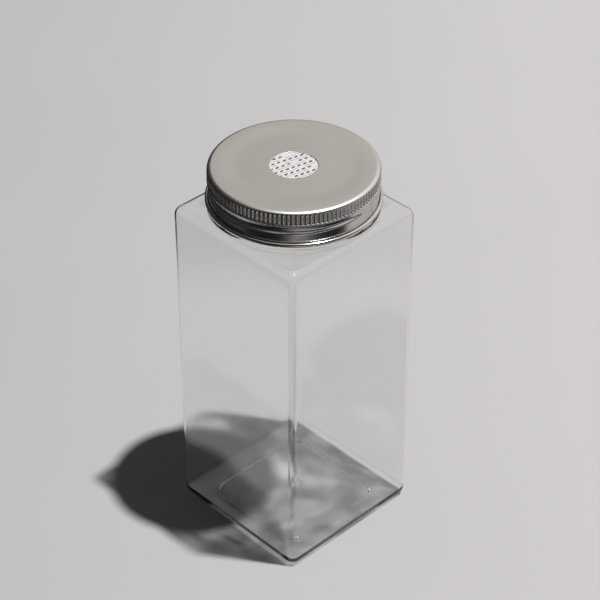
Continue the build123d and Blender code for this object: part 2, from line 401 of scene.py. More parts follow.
def shoulder_path(angle):
    """Radius and height points from the wall over the roll to the neck's foot."""
    path = []
    for i in range(ROLL_STEPS + 1):
        t = radians(90 * i / ROLL_STEPS)
        half = BODY_HALF - SHOULDER_R * (1 - cos(t))
        radius = square_radius(angle, half, CORNER_R)
        z = SHOULDER_Z - SHOULDER_R + SHOULDER_R * sin(t)
        if radius <= FOOT_R + 0.25:
            break
        path.append((radius, z))
    path.append((FOOT_R + 0.25, path[-1][1] + 0.05))
    path.append((FOOT_R, path[-1][1] + 0.25))
    path.append((FOOT_R, RING_Z - 0.1))
    return path


def evenly(path, count):
    """The path again, as count points the same distance apart."""
    lengths = [0.0]
    for a, b in zip(path, path[1:]):
        lengths.append(lengths[-1] + hypot(b[0] - a[0], b[1] - a[1]))
    result = []
    piece = 0
    for i in range(count):
        at = lengths[-1] * i / (count - 1)
        while piece < len(path) - 2 and lengths[piece + 1] < at:
            piece += 1
        span = lengths[piece + 1] - lengths[piece]
        t = min(max((at - lengths[piece]) / span, 0.0), 1.0) if span else 0.0
        a, b = path[piece], path[piece + 1]
        result.append((a[0] + (b[0] - a[0]) * t, a[1] + (b[1] - a[1]) * t))
    return result


paths = [evenly(shoulder_path(a), SHOULDER_ROWS) for a in DIRECTIONS]
for i in range(SHOULDER_ROWS):
    rings.append([path[i] for path in paths])
print(len(rings), "rings up to the neck")

# %% [markdown]
# The neck carries the ring that the blowing machine held it by, and the screw thread. The thread is a
# right-hand ridge, six turns to the inch, and stands out where a ring passes it. Its ends run out smoothly.

# %% Rings of the neck
PITCH = 25.4 / 6
THREAD_ANGLE = radians(-44)
THREAD_DEPTH = 1.2
NECK_THREAD_Z = 155.9358
NECK_THREAD_END = radians(226)
NECK_THREAD_LENGTH = radians(450)
RUN_OUT = radians(28)
CREST_REACH = 1.1              # the thread ends this far above and below its middle line
FLANK = 0.65
NECK_ROWS = 44
NECK_FOOT_Z = 146.8
LIP_SECTION = (
    (29.96, 159.9), (29.85, 160.05), (29.7, 160.15), (29.5, 160.2),
    (28.7, 160.2), (28.5, 160.17), (28.34, 160.05), (28.3, 159.8),
)


def neck_thread(angle, z):
    """How far the thread stands out of the neck at a direction and height."""
    out = 0.0
    first = (angle - THREAD_ANGLE) % (2 * pi)
    for turn in (first - 4 * pi, first - 2 * pi, first):
        into = turn - (NECK_THREAD_END - NECK_THREAD_LENGTH)
        left = NECK_THREAD_END - turn
        fade = min(into / RUN_OUT, left / RUN_OUT, 1.0)
        if fade <= 0:
            continue
        away = abs(z - NECK_THREAD_Z - PITCH * turn / (2 * pi))
        rise = min(max((CREST_REACH - away) / FLANK, 0.0), 1.0)
        out = max(out, THREAD_DEPTH * smooth(fade) * smooth(rise))
    return out


RING_R = 32.8
RING_HALF = 1.3
RING_MID_Z = RING_Z + RING_HALF
round_ring(31.0, RING_Z - 0.03)
for i in range(15):
    t = radians(-90 + 180 * i / 14)
    round_ring(RING_R - RING_HALF * (1 - cos(t)), RING_MID_Z + RING_HALF * sin(t))
for radius, z in ((30.8, 146.5), (30.3, 146.52), (30.06, 146.65)):
    round_ring(radius, z)
for i in range(NECK_ROWS):
    z = NECK_FOOT_Z + (LIP_Z - 0.5 - NECK_FOOT_Z) * i / (NECK_ROWS - 1)
    rings.append([(NECK_R + neck_thread(a, z), z) for a in DIRECTIONS])
for radius, z in LIP_SECTION:
    round_ring(radius, z)
print(len(rings), "rings up to the lip")

# %% [markdown]
# The inside follows the outside one wall thickness in. Stretching leaves the wall a little uneven, so the
# inner skin wanders by a few hundredths of a millimetre, and the wall bends what shows through it. A small step
# and a low pyramid repeat the push-up of the base on the floor inside, with a dome over the gate.

# %% Rings of the inside
INNER_HALF = BODY_HALF - WALL
INNER_CORNER = CORNER_R - WALL
INNER_TOP = SHOULDER_Z - WALL
INNER_ROLL = SHOULDER_R - WALL
INNER_HEEL = HEEL_R - 0.2
STEP_SECTION = ((26.4, 1.4), (25.6, 1.46), (24.8, 1.66), (24.1, 1.96), (23.5, 2.2))
INNER_PYRAMID_ROWS = 14
INNER_PYRAMID_HALF = 23.0
INNER_PYRAMID_DRAW = 17.8
INNER_PYRAMID_Z = 2.35
INNER_PYRAMID_RISE = 2.65
INNER_PYRAMID_BOW = 0.35
DOME_SECTION = (
    (4.0, 5.02), (2.6, 5.03), (2.3, 5.1), (2.0, 5.3), (1.6, 5.5), (1.1, 5.64), (0.6, 5.72), (0.02, 5.74),
)


def wander(angle, z):
    """Unevenness of the blown wall, in millimetres."""
    return 0.035 * sin(3 * angle + z / 19) * sin(z / 31 + 1) + 0.02 * sin(7 * angle - z / 11)


for i in range(8):
    round_ring(BORE_R, 159.4 - (159.4 - INNER_TOP - 0.4) * i / 7)
round_ring(BORE_R + 0.03, INNER_TOP + 0.15)
round_ring(BORE_R + 0.15, INNER_TOP + 0.03)
for i in range(9):
    t = radians(90 - 90 * i / 8)
    half = INNER_HALF - INNER_ROLL * (1 - cos(t))
    z = INNER_TOP - INNER_ROLL * (1 - sin(t))
    square_ring(half, CORNER_R + (INNER_CORNER - CORNER_R) * i / 8, z)
inner_wall_top = INNER_TOP - INNER_ROLL
inner_wall_bottom = BASE_TOP_Z + INNER_HEEL
for i in range(1, WALL_ROWS * 2):
    t = i / (WALL_ROWS * 2)
    z = inner_wall_top + (inner_wall_bottom - inner_wall_top) * t
    uneven = sin(pi * t)
    rings.append([
        (square_radius(a, INNER_HALF, INNER_CORNER) + uneven * wander(a, z), z) for a in DIRECTIONS
    ])
for i in range(12):
    t = radians(90 * i / 11)
    corner = INNER_CORNER + (FOOT_CORNER_R - INNER_CORNER) * i / 11
    square_ring(INNER_HALF - INNER_HEEL * (1 - cos(t)), corner, BASE_TOP_Z + INNER_HEEL * (1 - sin(t)))
for half, z in STEP_SECTION:
    square_ring(half, 5.0, z)
for i in range(INNER_PYRAMID_ROWS):
    t = i / (INNER_PYRAMID_ROWS - 1)
    z = INNER_PYRAMID_Z + INNER_PYRAMID_RISE * t + INNER_PYRAMID_BOW * (smooth(t) - t)
    square_ring(INNER_PYRAMID_HALF - INNER_PYRAMID_DRAW * t, 4.4 - 2.0 * t, z)
for radius, z in DOME_SECTION:
    round_ring(radius, z)
print(len(rings), "rings in all")

# %% Join the rings into the jar
points = []
for ring in rings:
    for angle, (radius, z) in zip(DIRECTIONS, ring):
        points.append((radius * cos(angle) * MM, radius * sin(angle) * MM, z * MM))
count = len(DIRECTIONS)
faces = []
for i in range(len(rings) - 1):
    for j in range(count):
        k = (j + 1) % count
        faces.append((i * count + j, i * count + k, (i + 1) * count + k, (i + 1) * count + j))
faces.append(tuple(range(count)))
faces.append(tuple(range(len(points) - 1, len(points) - 1 - count, -1)))
jar = mesh_object("jar", points, faces)
print("jar:", len(jar.data.polygons), "faces")

# %% [markdown]
# ## The lid's section
# A rolled lid is one sheet whose section is the same all the way round. The section below is a closed loop
# of points, radius against height: over the panel, round the rim, down the wall, round the bottom curl and
# back up the inside. Each point also says how much it follows the ribs and how much the rolled thread.

# %% The section as a loop of points
SHEET = 0.4
LID_WALL_R = 32.0
KNURL_R = 32.4
LID_BORE_R = 31.6
LID_TOP_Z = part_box("cap_shell")[1][2] / MM
PANEL_Z = LID_TOP_Z - 0.25
DISH_START_R = 20.0
DISH_END_R = 30.5
UNDER_Z = PANEL_Z - SHEET
RIM_R = 1.65
KNURL_Z = LID_TOP_Z - 5.15
CURL_R = 0.9
CURL_Z = 148.1
HOLE_R = 9.0
DISH_ROWS = 8

section = []


def put(radius, z, rib=0.0, roll=0.0):
    """Add one point to the section."""
    section.append((radius, z, rib, roll))


def put_arc(centre, radius, start, end, count, rib=0.0):
    """Add points on an arc, angles in degrees."""
    for i in range(count):
        t = radians(start + (end - start) * i / (count - 1))
        put(centre[0] + radius * cos(t), centre[1] + radius * sin(t), rib)


for radius, z in (
    (HOLE_R, UNDER_Z + 0.04), (HOLE_R, PANEL_Z - 0.06), (HOLE_R + 0.02, PANEL_Z - 0.02),
    (HOLE_R + 0.07, PANEL_Z), (HOLE_R + 0.4, PANEL_Z), (HOLE_R + 0.8, PANEL_Z),
):
    put(radius, z)
for i in range(DISH_ROWS):
    t = i / (DISH_ROWS - 1)
    put(DISH_START_R + (DISH_END_R - DISH_START_R) * t, PANEL_Z + (LID_TOP_Z - PANEL_Z) * smooth(t))
put_arc((KNURL_R - RIM_R, LID_TOP_Z - RIM_R), RIM_R, 90, 30, 7)
put_arc((KNURL_R - RIM_R, LID_TOP_Z - RIM_R), RIM_R, 18, 0, 3, rib=1.0)
for z in (LID_TOP_Z - 2.6, LID_TOP_Z - 3.8, KNURL_Z + 0.12):
    put(KNURL_R, z, rib=1.0)
put(KNURL_R, KNURL_Z)
put_arc((LID_WALL_R, KNURL_Z - 0.3), 0.5, 30, -80, 7)
THREAD_TOP = KNURL_Z - 0.95
THREAD_SPAN = 6.4
OUTER_ROWS = 27                # the thread needs close rows outside, where it is seen
INNER_ROWS = 12
for i in range(OUTER_ROWS):
    put(LID_WALL_R, THREAD_TOP - THREAD_SPAN * i / (OUTER_ROWS - 1), roll=1.0)
put_arc((LID_BORE_R + CURL_R, CURL_Z), CURL_R - SHEET, 180, 460, 6)
put_arc((LID_BORE_R + CURL_R, CURL_Z), CURL_R, 460, 180, 11)
for i in range(INNER_ROWS):
    put(LID_BORE_R, THREAD_TOP - THREAD_SPAN * (1 - i / (INNER_ROWS - 1)), roll=1.0)
put(LID_BORE_R, KNURL_Z)
put(LID_BORE_R, LID_TOP_Z - 3.0)
put_arc((LID_BORE_R - RIM_R + SHEET, LID_TOP_Z - RIM_R), RIM_R - SHEET, 0, 90, 6)
for radius, z in ((30.0, LID_TOP_Z - SHEET), (29.2, UNDER_Z), (20.0, UNDER_Z), (HOLE_R + 0.04, UNDER_Z)):
    put(radius, z)

section_mesh = bpy.data.meshes.new("lid_section")
loop = [(i, (i + 1) % len(section)) for i in range(len(section))]
section_mesh.from_pydata([(p[0] * MM, 0, p[1] * MM) for p in section], loop, [])
for name, column in (("rib", 2), ("roll", 3)):
    layer = section_mesh.attributes.new(name, "FLOAT", "POINT")
    layer.data.foreach_set("value", [p[column] for p in section])
lid = bpy.data.objects.new("lid", section_mesh)
bpy.context.scene.collection.objects.link(lid)
print("section of", len(section), "points")

# %% [markdown]
# ## Geometry Nodes sweep the section round
# The ribs and the thread follow simple rules, so nodes make the lid: a grid of points takes its radius and
# height from the section, a cosine presses the ribs in, and the thread pushes the sheet inwards where a
# point lies close to the screw line. The sizes are named inputs, so a different lid is a change of numbers.

# %% The inputs of the lid's tree
sweep = bpy.data.node_groups.new("rolled lid", "GeometryNodeTree")
face_side = sweep.interface
face_side.new_socket("Geometry", in_out="INPUT", socket_type="NodeSocketGeometry")
face_side.new_socket("Geometry", in_out="OUTPUT", socket_type="NodeSocketGeometry")
LID_SIZES = {
    "Steps round": ("NodeSocketInt", 960),
    "Ribs": ("NodeSocketInt", 120),
    "Rib depth": ("NodeSocketFloat", 0.48 * MM),
    "Thread depth": ("NodeSocketFloat", 1.0 * MM),
    "Thread pitch": ("NodeSocketFloat", PITCH * MM),
    "Thread height": ("NodeSocketFloat", 154.0 * MM),
    "Thread angle": ("NodeSocketFloat", THREAD_ANGLE),
    "Thread start": ("NodeSocketFloat", radians(-240)),
    "Thread end": ("NodeSocketFloat", radians(60)),
    "Run out": ("NodeSocketFloat", RUN_OUT),
    "Metal": ("NodeSocketMaterial", None),
}
for name, (kind, value) in LID_SIZES.items():
    face_side.new_socket(name, in_out="INPUT", socket_type=kind)
given = add_node(sweep, "NodeGroupInput").outputs
print(len(LID_SIZES), "named inputs")

# %% Angle and row of every grid point
MATH = "ShaderNodeMath"
size = add_node(sweep, "GeometryNodeAttributeDomainSize", {"Geometry": given["Geometry"]}, component="MESH")
rows = size.outputs["Point Count"]
columns = add_node(sweep, MATH, {0: given["Steps round"], 1: 1.0}, operation="ADD").outputs[0]
closed_rows = add_node(sweep, MATH, {0: rows, 1: 1.0}, operation="ADD").outputs[0]
sheet_grid = add_node(sweep, "GeometryNodeMeshGrid", {
    "Size X": 1.0, "Size Y": 1.0, "Vertices X": columns, "Vertices Y": closed_rows,
})
where = add_node(sweep, "GeometryNodeInputPosition").outputs[0]
spot = add_node(sweep, "ShaderNodeSeparateXYZ", {0: where}).outputs
share_round = add_node(sweep, MATH, {0: spot["X"], 1: 0.5}, operation="ADD").outputs[0]
angle = add_node(sweep, MATH, {0: share_round, 1: 2 * pi}, operation="MULTIPLY").outputs[0]
share_up = add_node(sweep, MATH, {0: spot["Y"], 1: 0.5}, operation="ADD").outputs[0]
row_place = add_node(sweep, MATH, {0: share_up, 1: rows}, operation="MULTIPLY").outputs[0]
whole_row = add_node(sweep, MATH, {0: row_place}, operation="ROUND").outputs[0]
row = add_node(sweep, MATH, {0: whole_row, 1: rows}, operation="MODULO").outputs[0]
print("grid of", LID_SIZES["Steps round"][1], "by", len(section))

# %% Read the section at each row
wanted = {"place": ("FLOAT_VECTOR", where)}
for name in ("rib", "roll"):
    stored = add_node(sweep, "GeometryNodeInputNamedAttribute", {"Name": name}, data_type="FLOAT")
    wanted[name] = ("FLOAT", next(s for s in stored.outputs if s.enabled))
found = {}
for name, (kind, value) in wanted.items():
    sample = add_node(sweep, "GeometryNodeSampleIndex", {
        "Geometry": given["Geometry"], "Index": row,
    }, data_type=kind, domain="POINT")
    sweep.links.new(value, next(s for s in sample.inputs if s.name == "Value" and s.enabled))
    found[name] = next(s for s in sample.outputs if s.enabled)
base = add_node(sweep, "ShaderNodeSeparateXYZ", {0: found["place"]}).outputs
print("read from the section:", ", ".join(found))

# %% Press in the ribs
rib_angle = add_node(sweep, MATH, {0: angle, 1: given["Ribs"]}, operation="MULTIPLY").outputs[0]
wave = add_node(sweep, MATH, {0: rib_angle}, operation="COSINE").outputs[0]
valley = add_node(sweep, "ShaderNodeMapRange", {
    "Value": wave, "From Min": -0.55, "From Max": 0.45, "To Min": 1.0, "To Max": 0.0,
}, interpolation_type="SMOOTHSTEP").outputs["Result"]
valley_in = add_node(sweep, MATH, {0: valley, 1: given["Rib depth"]}, operation="MULTIPLY").outputs[0]
rib_in = add_node(sweep, MATH, {0: valley_in, 1: found["rib"]}, operation="MULTIPLY").outputs[0]
print(LID_SIZES["Ribs"][1], "ribs,", round(2 * pi * KNURL_R / LID_SIZES["Ribs"][1], 2), "mm apart")

# %% Roll in the thread
THREAD_CREST = 0.75            # half the width that is pressed to full depth, in millimetres
THREAD_FOOT = 1.6              # half the width at the surface
latest = add_node(sweep, MATH, {0: given["Thread end"], 1: 0.5}, operation="ADD").outputs[0]
earliest = add_node(sweep, MATH, {0: latest, 1: 2 * pi}, operation="SUBTRACT").outputs[0]
past_zero = add_node(sweep, MATH, {0: angle, 1: given["Thread angle"]}, operation="SUBTRACT").outputs[0]
turn = add_node(sweep, MATH, {0: past_zero, 1: latest, 2: earliest}, operation="WRAP").outputs[0]
turns = add_node(sweep, MATH, {0: turn, 1: 2 * pi}, operation="DIVIDE").outputs[0]
climb = add_node(sweep, MATH, {0: given["Thread pitch"], 1: turns}, operation="MULTIPLY").outputs[0]
line = add_node(sweep, MATH, {0: given["Thread height"], 1: climb}, operation="ADD").outputs[0]
over_line = add_node(sweep, MATH, {0: base["Z"], 1: line}, operation="SUBTRACT").outputs[0]
away = add_node(sweep, MATH, {0: over_line}, operation="ABSOLUTE").outputs[0]
press = add_node(sweep, "ShaderNodeMapRange", {
    "Value": away, "From Min": THREAD_CREST * MM, "From Max": THREAD_FOOT * MM, "To Min": 1.0, "To Max": 0.0,
}, interpolation_type="SMOOTHSTEP").outputs["Result"]
after_start = add_node(sweep, MATH, {0: turn, 1: given["Thread start"]}, operation="SUBTRACT").outputs[0]
before_end = add_node(sweep, MATH, {0: given["Thread end"], 1: turn}, operation="SUBTRACT").outputs[0]
nearer_end = add_node(sweep, MATH, {0: after_start, 1: before_end}, operation="MINIMUM").outputs[0]
end_share = add_node(sweep, MATH, {0: nearer_end, 1: given["Run out"]}, operation="DIVIDE").outputs[0]
fade = add_node(sweep, "ShaderNodeMapRange", {
    "Value": end_share, "From Min": 0.0, "From Max": 1.0, "To Min": 0.0, "To Max": 1.0,
}, interpolation_type="SMOOTHSTEP").outputs["Result"]
pressed = add_node(sweep, MATH, {0: press, 1: fade}, operation="MULTIPLY").outputs[0]
groove = add_node(sweep, MATH, {0: pressed, 1: given["Thread depth"]}, operation="MULTIPLY").outputs[0]
roll_in = add_node(sweep, MATH, {0: groove, 1: found["roll"]}, operation="MULTIPLY").outputs[0]
print("thread of", round(degrees(LID_SIZES["Thread end"][1] - LID_SIZES["Thread start"][1])), "degrees")

# %% Wrap the grid round the axis
MERGE_DISTANCE = 0.0005 * MM   # joins the seam, where the last column meets the first
after_ribs = add_node(sweep, MATH, {0: base["X"], 1: rib_in}, operation="SUBTRACT").outputs[0]
radius = add_node(sweep, MATH, {0: after_ribs, 1: roll_in}, operation="SUBTRACT").outputs[0]
cosine = add_node(sweep, MATH, {0: angle}, operation="COSINE").outputs[0]
sine = add_node(sweep, MATH, {0: angle}, operation="SINE").outputs[0]
placed = add_node(sweep, "ShaderNodeCombineXYZ", {
    "X": add_node(sweep, MATH, {0: radius, 1: cosine}, operation="MULTIPLY").outputs[0],
    "Y": add_node(sweep, MATH, {0: radius, 1: sine}, operation="MULTIPLY").outputs[0],
    "Z": base["Z"],
})
swept = add_node(sweep, "GeometryNodeSetPosition", {
    "Geometry": sheet_grid.outputs["Mesh"], "Position": placed.outputs[0],
})
closed = add_node(sweep, "GeometryNodeMergeByDistance", {
    "Geometry": swept.outputs[0], "Distance": MERGE_DISTANCE,
})
shaded = add_node(sweep, "GeometryNodeSetShadeSmooth", {"Geometry": closed.outputs[0]})
real = add_node(sweep, "GeometryNodeRealizeInstances", {"Geometry": shaded.outputs[0]})
coated = add_node(sweep, "GeometryNodeSetMaterial", {
    "Geometry": real.outputs[0], "Material": given["Metal"],
})
add_node(sweep, "NodeGroupOutput", {0: coated.outputs[0]})
print(len(sweep.nodes), "nodes sweep the lid")

# %% [markdown]
# ## Aluminium
# Lid sheet is rolled aluminium, drawn, then washed with a thin clear lacquer. Rolling leaves fine straight
# streaks on the flat panel, which make it satin. Where the tools turned the edges the metal is burnished and
# mirrors sharply, and the knurling wheel leaves the ribs duller. Aluminium is a slightly warm light grey.

# %% Material of the lid
STREAK_SPACING = 0.35 * MM     # coarser than real rolling marks, so that the streaks show
STREAK_STRETCH = 60            # each streak is this many times longer than it is wide
STREAK_HEIGHT = 0.01 * MM
CLOUD_SIZE = 16.667 * MM       # patches where tools and fingers rubbed the edges
ROLLING_ANGLE = radians(38)
FLAT_FROM = LID_TOP_Z - 0.9
FLAT_TO = LID_TOP_Z - 0.3


def new_material(name):
    """An empty node material and its tree."""
    material = bpy.data.materials.new(name)
    material.use_nodes = True
    material.node_tree.nodes.clear()
    return material, material.node_tree


lid_metal, tree = new_material("rolled aluminium, satin lacquer")
place = add_node(tree, "ShaderNodeTexCoord").outputs["Object"]
streak_place = add_node(tree, "ShaderNodeMapping", {
    "Vector": place,
    "Rotation": (0, 0, ROLLING_ANGLE),
    "Scale": (1 / STREAK_SPACING / STREAK_STRETCH, 1 / STREAK_SPACING, 1 / STREAK_SPACING / 10),
})
streaks = add_node(tree, "ShaderNodeTexNoise", {
    "Vector": streak_place.outputs[0], "Scale": 1.0, "Detail": 3.0, "Roughness": 0.6,
})
cloud = add_node(tree, "ShaderNodeTexNoise", {"Vector": place, "Scale": 1 / CLOUD_SIZE, "Detail": 3.0})
satin = add_node(tree, "ShaderNodeMapRange", {
    "Value": streaks.outputs["Fac"], "From Min": 0.3, "From Max": 0.7, "To Min": 0.30, "To Max": 0.38,
}).outputs["Result"]
polish = add_node(tree, "ShaderNodeMapRange", {
    "Value": cloud.outputs["Fac"], "From Min": 0.3, "From Max": 0.7, "To Min": 0.14, "To Max": 0.22,
}).outputs["Result"]
print("rolling streaks", round(STREAK_SPACING / MM, 2), "mm wide")

# %% Satin panel, polished edges, rougher ribs
KNURL_ROUGHNESS = 0.34
height = add_node(tree, "ShaderNodeSeparateXYZ", {0: place}).outputs["Z"]
flat = add_node(tree, "ShaderNodeMapRange", {
    "Value": height, "From Min": FLAT_FROM * MM, "From Max": FLAT_TO * MM, "To Min": 0.0, "To Max": 1.0,
}, interpolation_type="SMOOTHSTEP").outputs["Result"]
knurl_top = add_node(tree, "ShaderNodeMapRange", {
    "Value": height,
    "From Min": (LID_TOP_Z - 1.5) * MM,
    "From Max": FLAT_FROM * MM,
    "To Min": 1.0,
    "To Max": 0.0,
})
knurl_bottom = add_node(tree, "ShaderNodeMapRange", {
    "Value": height,
    "From Min": (KNURL_Z - 0.1) * MM,
    "From Max": (KNURL_Z + 0.2) * MM,
    "To Min": 0.0,
    "To Max": 1.0,
})
knurled = add_node(tree, "ShaderNodeMath", {
    0: knurl_top.outputs["Result"], 1: knurl_bottom.outputs["Result"],
}, operation="MULTIPLY").outputs[0]
edges = add_node(tree, "ShaderNodeMix", {0: knurled, 2: polish, 3: KNURL_ROUGHNESS}, data_type="FLOAT")
rough = add_node(tree, "ShaderNodeMix", {0: flat, 2: edges.outputs[0], 3: satin}, data_type="FLOAT")
tone = add_node(tree, "ShaderNodeMix", {
    0: cloud.outputs["Fac"], 6: hex_colour("#e3e0dd"), 7: hex_colour("#ecebe8"),
}, data_type="RGBA")
grain = add_node(tree, "ShaderNodeBump", {
    "Strength": 0.12, "Distance": STREAK_HEIGHT, "Height": streaks.outputs["Fac"],
})
metal = add_node(tree, "ShaderNodeBsdfPrincipled", {
    "Base Color": tone.outputs[2],
    "Metallic": 1.0,
    "Roughness": rough.outputs[0],
    "Normal": grain.outputs[0],
})
add_node(tree, "ShaderNodeOutputMaterial", {"Surface": metal.outputs[0]})
print("material:", lid_metal.name)

# %% Turn the lid into a plain mesh
modifier = lid.modifiers.new("sweep", "NODES")
modifier.node_group = sweep
for item in face_side.items_tree:
    if item.in_out == "INPUT" and item.name in LID_SIZES:
        value = lid_metal if item.name == "Metal" else LID_SIZES[item.name][1]
        modifier[item.identifier] = value
bpy.context.view_layer.update()
evaluated = lid.evaluated_get(bpy.context.evaluated_depsgraph_get())
lid_mesh = bpy.data.meshes.new_from_object(evaluated)
lid.modifiers.clear()
lid.data = lid_mesh
shape = bmesh.new()
shape.from_mesh(lid_mesh)
bmesh.ops.recalc_face_normals(shape, faces=shape.faces)
shape.to_mesh(lid_mesh)
shape.free()
print("lid:", len(lid_mesh.polygons), "faces, materials", [m.name for m in lid_mesh.materials if m])

# %% [markdown]
# ## PET
# PET is a clear polyester with an index of refraction of about 1.57, a little more than window glass. It was
# blown against a polished mould, so it is glossy but never quite flat: broad swells bend what shows through,
# a finer skin breaks up the highlights, and a few small blisters stand on the floor of the jar and glint.

# %% Surface of the jar
PET_IOR = 1.575
SWELL_SIZE = 23.81 * MM
SWELL_HEIGHT = 0.25 * MM
SKIN_SIZE = 3.333 * MM
SKIN_HEIGHT = 0.02 * MM
BLISTER_SPACING = 16.667 * MM
BLISTER_SHARE = 0.06           # radius of a blister as a share of the spacing: about 1 mm
BLISTER_HEIGHT = 0.62 * MM

pet, tree = new_material("blow-moulded clear PET")
place = add_node(tree, "ShaderNodeTexCoord").outputs["Object"]
height = add_node(tree, "ShaderNodeSeparateXYZ", {0: place}).outputs["Z"]
ripple = add_node(tree, "ShaderNodeTexNoise", {
    "Vector": place, "Scale": 1 / SWELL_SIZE, "Detail": 2.0, "Roughness": 0.4,
})
fine = add_node(tree, "ShaderNodeTexNoise", {"Vector": place, "Scale": 1 / SKIN_SIZE, "Detail": 2.0})
swell = add_node(tree, "ShaderNodeBump", {
    "Strength": 0.25, "Distance": SWELL_HEIGHT, "Height": ripple.outputs["Fac"],
})
skin = add_node(tree, "ShaderNodeBump", {
    "Strength": 0.08, "Distance": SKIN_HEIGHT, "Height": fine.outputs["Fac"], "Normal": swell.outputs[0],
})
haze = add_node(tree, "ShaderNodeMapRange", {
    "Value": fine.outputs["Fac"], "From Min": 0.3, "From Max": 0.7, "To Min": 0.04, "To Max": 0.07,
})
print("swells", round(SWELL_SIZE / MM), "mm wide, skin", round(SKIN_SIZE / MM, 1), "mm")

# %% Blisters on the floor of the jar
flat_place = add_node(tree, "ShaderNodeMapping", {"Vector": place, "Scale": (1.0, 1.0, 0.0)}).outputs[0]
blisters = add_node(tree, "ShaderNodeTexVoronoi", {"Vector": flat_place, "Scale": 1 / BLISTER_SPACING})
domes = add_node(tree, "ShaderNodeMapRange", {
    "Value": blisters.outputs["Distance"],
    "From Min": 0.0,
    "From Max": BLISTER_SHARE,
    "To Min": 1.0,
    "To Max": 0.0,
}, interpolation_type="SMOOTHSTEP").outputs["Result"]
near_base = add_node(tree, "ShaderNodeMapRange", {
    "Value": height, "From Min": 5.0 * MM, "From Max": 6.5 * MM, "To Min": 1.0, "To Max": 0.0,
}).outputs["Result"]
from_axis = add_node(tree, "ShaderNodeVectorMath", {0: flat_place}, operation="LENGTH").outputs["Value"]
inside_foot = add_node(tree, "ShaderNodeMapRange", {
    "Value": from_axis, "From Min": 24 * MM, "From Max": 28 * MM, "To Min": 1.0, "To Max": 0.0,
}).outputs["Result"]
on_floor = add_node(tree, "ShaderNodeMath", {0: inside_foot, 1: near_base}, operation="MULTIPLY").outputs[0]
raised = add_node(tree, "ShaderNodeMath", {0: domes, 1: on_floor}, operation="MULTIPLY").outputs[0]
marked = add_node(tree, "ShaderNodeBump", {
    "Strength": 1.0, "Distance": BLISTER_HEIGHT, "Height": raised, "Normal": skin.outputs[0],
})
clear = add_node(tree, "ShaderNodeBsdfPrincipled", {
    "Base Color": hex_colour("#fefefe"),
    "Roughness": haze.outputs["Result"],
    "IOR": PET_IOR,
    "Transmission Weight": 1.0,
    "Normal": marked.outputs[0],
})
print("blisters about", round(BLISTER_SPACING / MM), "mm apart")

# %% [markdown]
# Real light goes on through the walls to the floor, and a path tracer takes very long to find such light. So
# shadow rays and rays scattered by the floor pass straight through: at each surface they keep the share that
# is not mirrored away, which falls quickly at a grazing angle. A slow noise stands for the thick and thin parts
# of the wall, which gather and spread the light. Both kinds of ray must pass alike, because rough glass would
# otherwise let the same lamp light in twice.

# %% Light straight through the walls
KEPT_FACING = 0.96             # share kept at each surface, seen square on
GRAZING_POWER = 5.0
HEEL_FLOOR = 0.62              # the thick heel never goes quite dark
LENS_SIZE = 13.333 * MM
LENS_DARK = 0.72
LENS_BRIGHT = 1.16
facing = add_node(tree, "ShaderNodeLayerWeight", {"Blend": 0.5}).outputs["Facing"]
grazing = add_node(tree, "ShaderNodeMath", {0: facing, 1: GRAZING_POWER}, operation="POWER").outputs[0]
kept = add_node(tree, "ShaderNodeMapRange", {
    "Value": grazing, "From Min": 0.0, "From Max": 1.0, "To Min": KEPT_FACING, "To Max": 0.0,
}).outputs["Result"]
at_heel = add_node(tree, "ShaderNodeMapRange", {
    "Value": height, "From Min": 3.0 * MM, "From Max": 4.5 * MM, "To Min": HEEL_FLOOR, "To Max": 0.0,
}).outputs["Result"]
through_heel = add_node(tree, "ShaderNodeMath", {0: kept, 1: at_heel}, operation="MAXIMUM").outputs[0]
lens_place = add_node(tree, "ShaderNodeMapping", {"Vector": place, "Scale": (1.0, 1.0, 0.45)}).outputs[0]
lens = add_node(tree, "ShaderNodeTexNoise", {"Vector": lens_place, "Scale": 1 / LENS_SIZE, "Detail": 1.0})
focus = add_node(tree, "ShaderNodeMapRange", {
    "Value": lens.outputs["Fac"],
    "From Min": 0.35,
    "From Max": 0.65,
    "To Min": LENS_DARK,
    "To Max": LENS_BRIGHT,
}).outputs["Result"]
passed = add_node(tree, "ShaderNodeMath", {
    0: through_heel, 1: focus,
}, operation="MULTIPLY", use_clamp=True).outputs[0]
kept_colour = add_node(tree, "ShaderNodeCombineColor", {0: passed, 1: passed, 2: passed})
straight = add_node(tree, "ShaderNodeBsdfTransparent", {"Color": kept_colour.outputs[0]})
kind = add_node(tree, "ShaderNodeLightPath").outputs
lit = add_node(tree, "ShaderNodeMixShader", {
    0: kind["Is Shadow Ray"], 1: clear.outputs[0], 2: straight.outputs[0],
})
wall = add_node(tree, "ShaderNodeMixShader", {
    0: kind["Is Diffuse Ray"], 1: lit.outputs[0], 2: straight.outputs[0],
})
add_node(tree, "ShaderNodeOutputMaterial", {"Surface": wall.outputs[0]})
jar.data.materials.append(pet)
print("material:", pet.name)

# %% [markdown]
# ## The seal disc
# Under the lid lies a disc of foamed plastic with a printed film on it. The lip of the jar presses a shallow
# ring into the foam. Both are solids of revolution, so one short function turns a section into a disc.

# %% Foam and film


